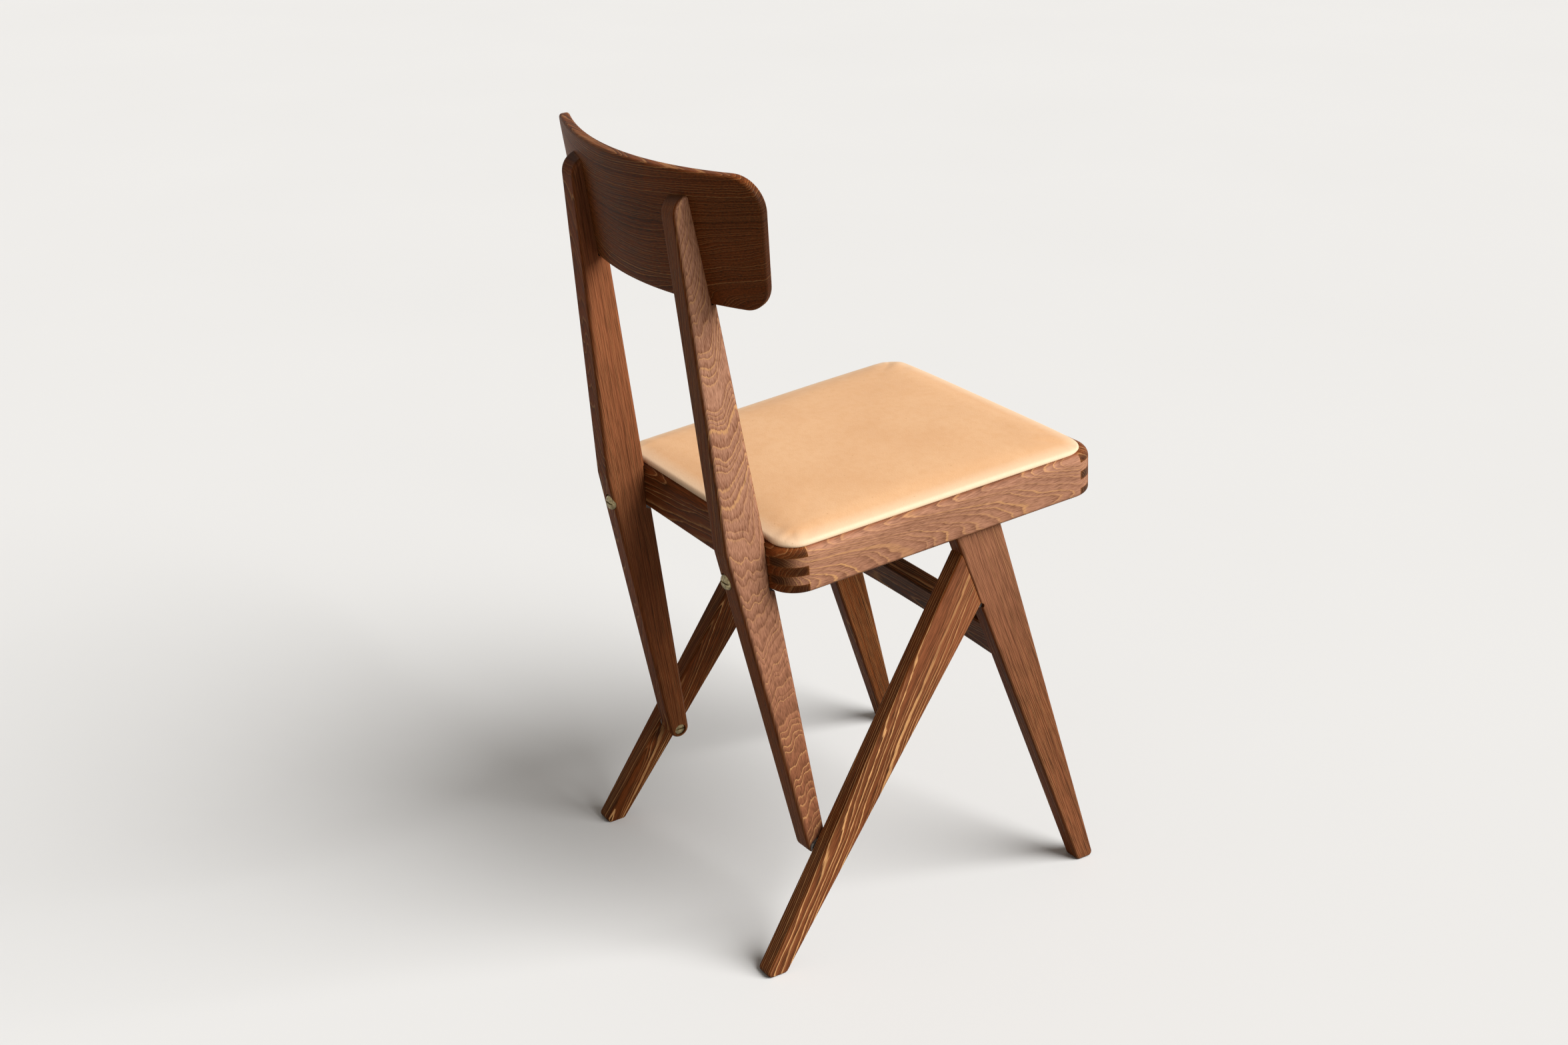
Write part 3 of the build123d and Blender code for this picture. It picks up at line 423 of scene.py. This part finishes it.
def tan_leather():
    """Vegetable-tanned leather: warm, nearly even tan with soft clouds, fine pebbles and a few pores,
    and a pale rim along the border, partly leather drawn thin and partly a painted highlight on the rolled
    edge."""
    pad = bpy.context.scene.chair_pad
    material, tree, shader = new_material("tan_leather_pad", roughness=0.55, specular=0.4)
    place = add(tree, "TexCoord", out="Object")
    cloud = add(tree, "TexNoise",
                {"Vector": place, "Scale": 1 / tan_cloud, "Detail": 4.0, "Roughness": 0.55})
    mottle = add(tree, "TexNoise", {"Vector": place, "Scale": 1 / tan_mottle, "Detail": 4.0})
    pebbles = add(tree, "TexVoronoi", {"Vector": place, "Scale": 1 / pad.pebble, "Smoothness": 0.6},
                  feature="SMOOTH_F1")
    specks = add(tree, "TexVoronoi", {"Vector": place, "Scale": 1 / pore_spacing})
    clouds = add(tree, "ValToRGB", {"Fac": cloud}, stops=[(0.35, 0.0), (0.7, 0.6)])
    mottles = add(tree, "ValToRGB", {"Fac": mottle}, stops=[(0.42, 0.0), (0.72, 0.32)])
    # Pale rim along the edge: partly leather drawn thin, partly a painted highlight on the rolled edge
    border = add(tree, "Attribute", out="Fac", attribute_name="border")
    border = add(tree, "Math", {0: border, 1: 0.6}, operation="MULTIPLY")
    pores = add(tree, "ValToRGB", {"Fac": specks}, stops=[(0.0, 0.45), (0.04, 0.25), (0.065, 0.0)])
    tint = add(tree, "Mix", {SHARE: clouds, LOW: pad.leather, HIGH: pad.leather_deep}, **COLOURS)
    tint = add(tree, "Mix", {SHARE: mottles, LOW: tint, HIGH: pad.leather_deep}, **COLOURS)
    tint = add(tree, "Mix", {SHARE: border, LOW: tint, HIGH: pad.pale_rim_and_highlight}, **COLOURS)
    tint = add(tree, "Mix", {SHARE: pores, LOW: tint, HIGH: pad.pore}, **COLOURS)
    height = add(tree, "Math", {0: mottle, 1: 0.7, 2: pebbles}, operation="MULTIPLY_ADD")
    tree.links.new(tint, shader.inputs["Base Color"])
    tree.links.new(add(tree, "Math", {0: mottle, 1: 0.22, 2: 0.42}, operation="MULTIPLY_ADD"),
                   shader.inputs["Roughness"])
    tree.links.new(add(tree, "Bump", {"Strength": 0.22, "Distance": pebble_relief, "Height": height}),
                   shader.inputs["Normal"])
    return material


def dress(node, material):
    """Gives a CAD node's slots a material."""
    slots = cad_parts[node].material_slots
    if not slots:
        raise RuntimeError(f"{node} has no material slot")
    for slot in slots:
        slot.material = material


class CHAIR_OT_stain_wood(bpy.types.Operator):
    """Stain the legs, uprights, backrest, stretcher and seat rails, each along its own grain"""

    bl_idname = "chair.stain_wood"
    bl_label = "Stain the Wood"

    def execute(self, context):
        for node, cut in STAINED_CUTS.items():
            dress(node, stained_beech(node, cut))
        return {"FINISHED"}


class CHAIR_OT_finish_hidden_wood(bpy.types.Operator):
    """Give the corner blocks, dowels and seat board their raw wood"""

    bl_idname = "chair.finish_hidden_wood"
    bl_label = "Finish the Hidden Wood"

    def execute(self, context):
        wood = context.scene.chair_wood
        block = Cut(along=(0.7, 0.7, 0), heart=(0, 0, 1), depth=25, lean=3.0, ring=3.5)
        for node in ("corner_block_front_left", "corner_block_front_right", "corner_block_rear_left",
                     "corner_block_rear_right", "backrest_dowels", "stretcher_dowels"):
            dress(node, raw_wood("raw_beech", node, block, wood.raw_beech, wood.raw_line))
        board = Cut(along=(0, 1, -0.077), heart=(0.2, 0, 1), depth=60, lean=2.0, ring=6.0)
        dress("seat_board", raw_wood("birch_plywood", "seat_board", board, wood.veneer, wood.veneer_line))
        return {"FINISHED"}


class CHAIR_OT_finish_metal(bpy.types.Operator):
    """Give the bolts and screws aged brass, and the hinges and pins blackened steel"""

    bl_idname = "chair.finish_metal"
    bl_label = "Finish the Metal"

    def execute(self, context):
        metal = context.scene.chair_metal
        brass = worn_metal("aged_brass", metal.brass, metal.tarnish, film_share=0.75, smooth=0.34)
        steel = worn_metal("blackened_steel", metal.steel_worn, metal.steel, film_share=0.95, smooth=0.42)
        for node in ("eye_bolts", "pivot_screws", "pivot_inserts"):
            dress(node, brass)
        for node in ("compass_leaves_front", "compass_leaves_rear", "compass_pins", "compass_screws_front",
                     "compass_screws_rear", "link_pins", "pad_screws", "pivot_washers", "seat_hinge_pins",
                     "seat_pegs", "swing_links"):
            dress(node, steel)
        return {"FINISHED"}


# The seat frame in its own coordinates: origin at the rear face's foot, Y to the rear
seat_origin = Vector((0, 0.14757, 0.395))
seat_tilt = math.radians(-4.4)
seat_depth = 0.368
seat_half_rear = 0.1565
seat_half_front = 0.1675
frame_corner = 30.0 * MM
rail_top = 0.046
rail_round = 10.0 * MM         # rounded upper edge of the rails
seat_place = Matrix.Translation(seat_origin) @ Matrix.Rotation(seat_tilt, 4, "X")
board_room = 7.1 * MM          # pad edge to the recess that takes the seat board
board_top = 4.3 * MM
pad_lift = 0.1 * MM            # clear of the rails
leather_edge = 0.24            # share of the border that stands upright at the pad's edge
half_lines = 28                # grid lines from the middle of the pad to its edge

# The pad's cloth run, and how the leather settles after it
held_edge = 2.5 * MM           # edge of the leather that is held
filling_pressure = 4.0
cloth_frames = 20
hollow_depth = 0.6 * MM
hollow_reach = 22 * MM         # hollows are full this far from the edge
hollow_rate = (13, 11)         # hollows across and along the seat, per metre
hollow_seed = 3.7
gather_depth = 0.3 * MM
gather_reach = 15 * MM         # gathers at the corners end this far from the edge
gather_turn = 12               # gathers in a full turn
gather_start = 0.04            # share of the reach at which they begin
pale_rim_reach = 17 * MM        # the leather is paler this far from its edge: partly drawn thin, partly a painted highlight


class Plan:
    """Rounded outline of the seat frame, drawn in from its sides, rear and front."""

    def __init__(self, side, rear, front, corner):
        self.side = side
        self.corner = corner
        self.middle = (front - rear - seat_depth) / 2
        self.half = (seat_depth - rear - front) / 2

    def half_width(self, y):
        """Half the outline's width at a distance in front of the frame's rear face."""
        return seat_half_rear + (seat_half_front - seat_half_rear) * (-y / seat_depth) - self.side

    def edge(self, u, v):
        """Point of the outline for a point on the edge of a square from -1 to 1."""
        y = self.middle + v * self.half
        x = u * self.half_width(y)
        centre = Vector((math.copysign(self.half_width(y) - self.corner, u),
                         self.middle + math.copysign(self.half - self.corner, v)))
        out = Vector((x, y)) - centre
        if out.x * u > 0 and out.y * v > 0:
            return centre + out.normalized() * self.corner
        return Vector((x, y))

    def depth(self, point):
        """How far inside the outline a point lies."""
        across = abs(point.x) - self.half_width(point.y) + self.corner
        along = abs(point.y - self.middle) - self.half + self.corner
        outside = Vector((max(across, 0), max(along, 0))).length
        return self.corner - outside - min(max(across, along), 0)


frame_plan = Plan(0, 0, 0, frame_corner)


def rail_height(point):
    """Height of the rails' upper side, which falls away to their rounded edge."""
    short = rail_round - min(max(frame_plan.depth(point), 0), rail_round)
    return rail_top + pad_lift - rail_round + math.sqrt(rail_round ** 2 - short ** 2)


def leather_height(point, u, v, pad, plan):
    """Height of the leather: it turns up from its edge to a soft crown, lower at the front corners."""
    turn = 1 - min(max(plan.depth(point), 0) / pad.roll, 1)
    front = pad.front_border + (pad.front_corner - pad.front_border) * abs(u) ** 5
    border = pad.border + (front - pad.border) * max(-v, 0) ** 3
    rise = border * (leather_edge + (1 - leather_edge) * math.sqrt(max(1 - turn * turn, 0)))
    crown = pad.crown * (1 - abs(u) ** 2.4) * (1 - abs(v) ** 2.4)
    return rail_height(point) + rise + crown


def pad_mesh(pad):
    """Leather pad as one closed form, with a recess below for the seat board."""
    form = bmesh.new()
    lines = [math.sin(math.pi / 2 * k / half_lines) for k in range(-half_lines, half_lines + 1)]
    plan = Plan(pad.side, pad.rear, pad.front, pad.corner)
    middle = Vector((0, plan.middle))
    top = {}
    for i, u in enumerate(lines):
        for j, v in enumerate(lines):
            share = max(abs(u), abs(v))
            point = middle.copy()
            if share > 1e-9:
                point += (plan.edge(u / share, v / share) - middle) * share
            place = Vector((point.x, point.y, leather_height(point, u, v, pad, plan)))
            top[i, j] = form.verts.new(seat_place @ place)
    last = len(lines) - 1
    for i in range(last):
        for j in range(last):
            form.faces.new((top[i, j], top[i + 1, j], top[i + 1, j + 1], top[i, j + 1]))
    walk = [(i, 0) for i in range(last)] + [(last, j) for j in range(last)]
    walk += [(i, last) for i in range(last, 0, -1)] + [(0, j) for j in range(last, 0, -1)]
    ring = [top[key] for key in walk]
    below = [(0.6 * MM, 0.3 * MM), (0.0, 1.0 * MM), (0.0, 4.0 * MM)]
    for rise, inset in below + [(0.0, board_room), (board_top, board_room)]:
        lower_plan = Plan(pad.side + inset, pad.rear + inset, pad.front + inset, pad.corner - inset)
        lower = []
        for i, j in walk:
            edge = lower_plan.edge(lines[i], lines[j])
            lower.append(form.verts.new(seat_place @ Vector((edge.x, edge.y, rail_height(edge) + rise))))
        for k in range(len(ring)):
            after = (k + 1) % len(ring)
            form.faces.new((ring[k], lower[k], lower[after], ring[after]))
        ring = lower
    form.faces.new(ring)
    bmesh.ops.recalc_face_normals(form, faces=form.faces)
    mesh = bpy.data.meshes.new("leather_pad")
    form.to_mesh(mesh)
    form.free()
    return mesh, (last + 1) ** 2


def swell_leather(piece, top_count, pad):
    """Short cloth run: the filling presses the leather up, held at its border and below."""
    rest = [v.co.copy() for v in piece.data.vertices]
    held = piece.vertex_groups.new(name="held")
    plan = Plan(pad.side, pad.rear, pad.front, pad.corner)
    local = seat_place.inverted()
    for index, point in enumerate(rest):
        if index >= top_count or plan.depth((local @ point).xy) < held_edge:
            held.add([index], 1.0, "REPLACE")
    cloth = piece.modifiers.new("filling", "CLOTH")
    cloth.settings.vertex_group_mass = "held"
    cloth.settings.use_pressure = True
    cloth.settings.uniform_pressure_force = filling_pressure
    cloth.settings.effector_weights.gravity = 0
    cloth.settings.quality = 6
    scene = bpy.context.scene
    for number in range(1, cloth_frames + 1):
        scene.frame_set(number)
    shaped = piece.evaluated_get(bpy.context.evaluated_depsgraph_get()).to_mesh()
    moved = [v.co.copy() for v in shaped.vertices]
    piece.modifiers.remove(cloth)
    piece.vertex_groups.remove(held)
    scene.frame_set(1)
    for vertex, start, end in zip(piece.data.vertices, rest, moved):
        step = end - start
        reach = step.length
        if reach > 1e-9:
            step *= pad.swell * math.tanh(reach / pad.swell) / reach
        vertex.co = start + step


def settle_leather(piece, top_count, pad):
    """Hand-made leather is never quite even: soft hollows, and small gathers at the corners."""
    local = seat_place.inverted()
    up = seat_place.to_3x3() @ Vector((0, 0, 1))
    plan = Plan(pad.side, pad.rear, pad.front, pad.corner)
    border = piece.data.attributes.new("border", "FLOAT", "POINT")
    values = [0.0] * len(piece.data.vertices)
    for vertex in piece.data.vertices:
        point = (local @ vertex.co).xy
        distance = max(plan.depth(point), 0)
        if vertex.index < top_count:
            free = min(distance / hollow_reach, 1)
            dip = noise.noise(Vector((point.x * hollow_rate[0], point.y * hollow_rate[1], hollow_seed)))
            vertex.co += up * (hollow_depth * dip * free)
            out = Vector((abs(point.x) - plan.half_width(point.y), abs(point.y - plan.middle) - plan.half))
            out += Vector((pad.corner, pad.corner))
            if out.x > 0 and out.y > 0 and distance < gather_reach:
                turn = math.atan2(out.y, out.x)
                fold = math.cos(turn * gather_turn) * math.sin(2 * turn)
                fade = math.sin(math.pi * max(distance / gather_reach, gather_start))
                vertex.co -= up * (gather_depth * fold * fade)
        # Share of the pale rim: partly leather drawn thin, partly a painted highlight on the rolled edge
        values[vertex.index] = max(0.0, 1 - distance / pale_rim_reach)
    border.data.foreach_set("value", values)


class CHAIR_OT_make_pad(bpy.types.Operator):
    """Make the leather pad that rests on the seat frame"""

    bl_idname = "chair.make_pad"
    bl_label = "Make the Seat Pad"

    def execute(self, context):
        pad = context.scene.chair_pad
        mesh, top_count = pad_mesh(pad)
        piece = bpy.data.objects.new("leather_seat_pad", mesh)
        context.scene.collection.objects.link(piece)
        swell_leather(piece, top_count, pad)
        settle_leather(piece, top_count, pad)
        finer = piece.modifiers.new("finer", "SUBSURF")
        finer.levels = 1
        finer.render_levels = 1
        smooth = bpy.data.meshes.new_from_object(piece.evaluated_get(context.evaluated_depsgraph_get()))
        piece.modifiers.remove(finer)
        piece.data = smooth
        smooth.polygons.foreach_set("use_smooth", [True] * len(smooth.polygons))
        smooth.materials.clear()
        smooth.materials.append(tan_leather())
        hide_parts("seat_pad")
        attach(piece, "seat")
        return {"FINISHED"}


# Camera and light; the floor is a square that reaches this far from the chair
floor_reach = 14.0
floor_cloud = 1.3              # soft patches in the floor, per metre
camera_place = Vector((-1.4094, 0.96477, 1.1333))
camera_yaw = math.radians(-33.03)
camera_pitch = math.radians(-23.82)
camera_roll = math.radians(-0.24)
key_direction = Vector((-1.15, -0.8, 1.2))
key_softness = math.radians(48)


def seen_directly(tree):
    """One for the rays that show the background: straight to the camera, mirrored or through glass."""
    rays = add(tree, "LightPath").node.outputs
    seen = add(tree, "Math", {0: rays["Is Camera Ray"], 1: rays["Is Glossy Ray"]}, operation="MAXIMUM")
    return add(tree, "Math", {0: seen, 1: rays["Is Transmission Ray"]}, operation="MAXIMUM")


def plain_floor(stage):
    """Matt pale floor with barely visible unevenness; it throws little light back up."""
    material, tree, shader = new_material("matt_floor", roughness=0.9, specular=0.1)
    place = add(tree, "TexCoord", out="Object")
    cloud = add(tree, "TexNoise", {"Vector": place, "Scale": floor_cloud, "Detail": 3.0})
    darker = tuple(c * 0.97 for c in stage.floor)
    tint = add(tree, "Mix", {SHARE: cloud, LOW: stage.floor, HIGH: darker}, **COLOURS)
    tint = add(tree, "Mix", {SHARE: seen_directly(tree), LOW: stage.floor_bounce, HIGH: tint}, **COLOURS)
    tree.links.new(tint, shader.inputs["Base Color"])
    return material


class CHAIR_OT_build_stage(bpy.types.Operator):
    """Lay the floor and set up the light and the camera"""

    bl_idname = "chair.build_stage"
    bl_label = "Build the Stage"

    def execute(self, context):
        scene = context.scene
        stage = scene.chair_stage
        form = bmesh.new()
        bmesh.ops.create_grid(form, x_segments=2, y_segments=2, size=floor_reach)
        mesh = bpy.data.meshes.new("floor")
        form.to_mesh(mesh)
        form.free()
        mesh.materials.append(plain_floor(stage))
        floor = bpy.data.objects.new("floor", mesh)
        scene.collection.objects.link(floor)

        lamp = bpy.data.lights.new("window_key", "SUN")
        lamp.energy = stage.key_level * math.pi
        lamp.angle = key_softness
        lamp.color = stage.key_colour
        key = bpy.data.objects.new("window_key", lamp)
        key.location = key_direction
        key.rotation_euler = (-key_direction).to_track_quat("-Z", "Y").to_euler()
        scene.collection.objects.link(key)

        world = bpy.data.worlds.new("studio")
        world.use_nodes = True
        tree = world.node_tree
        tree.nodes.clear()
        even = add(tree, "Background", {"Color": stage.fill_colour, "Strength": stage.fill_level})
        pale = add(tree, "Background", {"Color": stage.backdrop, "Strength": 1.0})
        both = add(tree, "MixShader", {0: seen_directly(tree), 1: even, 2: pale})
        add(tree, "OutputWorld", {"Surface": both}, None)
        scene.world = world
        scene.view_settings.view_transform = "Standard"

        lens = bpy.data.cameras.new("photo_camera")
        lens.sensor_width = 36.0
        lens.lens = stage.lens
        lens.clip_start = 0.05
        lens.clip_end = 60.0
        view = bpy.data.objects.new("photo_camera", lens)
        ahead = Vector((math.cos(camera_pitch) * math.cos(camera_yaw),
                        math.cos(camera_pitch) * math.sin(camera_yaw), math.sin(camera_pitch)))
        right = Vector((ahead.y, -ahead.x, 0)).normalized()
        up = right.cross(ahead)
        across = right * math.cos(camera_roll) + up * math.sin(camera_roll)
        above = up * math.cos(camera_roll) - right * math.sin(camera_roll)
        turned = Matrix((across, above, -ahead)).transposed()
        view.matrix_world = Matrix.Translation(camera_place) @ turned.to_4x4()
        scene.collection.objects.link(view)
        scene.camera = view
        return {"FINISHED"}


steps = (CHAIR_OT_stain_wood, CHAIR_OT_finish_hidden_wood, CHAIR_OT_finish_metal, CHAIR_OT_make_pad,
         CHAIR_OT_build_stage)


class CHAIR_PT_sidebar(bpy.types.Panel):
    """Lists the chair's settings and steps"""

    bl_idname = "CHAIR_PT_sidebar"
    bl_label = "Folding Chair"
    bl_space_type = "VIEW_3D"
    bl_region_type = "UI"
    bl_category = "Chair"

    def draw(self, context):
        scene = context.scene
        for settings in (scene.chair_wood, scene.chair_pad, scene.chair_metal, scene.chair_stage):
            box = self.layout.box()
            for key in settings.__annotations__:
                box.prop(settings, key)
        for step in steps:
            self.layout.operator(step.bl_idname)


groups = {"chair_wood": ChairWoodSettings, "chair_pad": ChairPadSettings, "chair_metal": ChairMetalSettings,
          "chair_stage": ChairStageSettings}


def register():
    """Registers the settings, the steps and the panel."""
    for key, group in groups.items():
        bpy.utils.register_class(group)
        setattr(bpy.types.Scene, key, bpy.props.PointerProperty(type=group))
    for kind in (*steps, CHAIR_PT_sidebar):
        bpy.utils.register_class(kind)


def unregister():
    """Takes them away again."""
    for kind in (CHAIR_PT_sidebar, *reversed(steps)):
        bpy.utils.unregister_class(kind)
    for key, group in groups.items():
        delattr(bpy.types.Scene, key)
        bpy.utils.unregister_class(group)


def main():
    """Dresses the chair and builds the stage."""
    register()
    bpy.ops.chair.stain_wood()
    bpy.ops.chair.finish_hidden_wood()
    bpy.ops.chair.finish_metal()
    bpy.ops.chair.make_pad()
    bpy.ops.chair.build_stage()


if __name__ == "__main__":
    main()
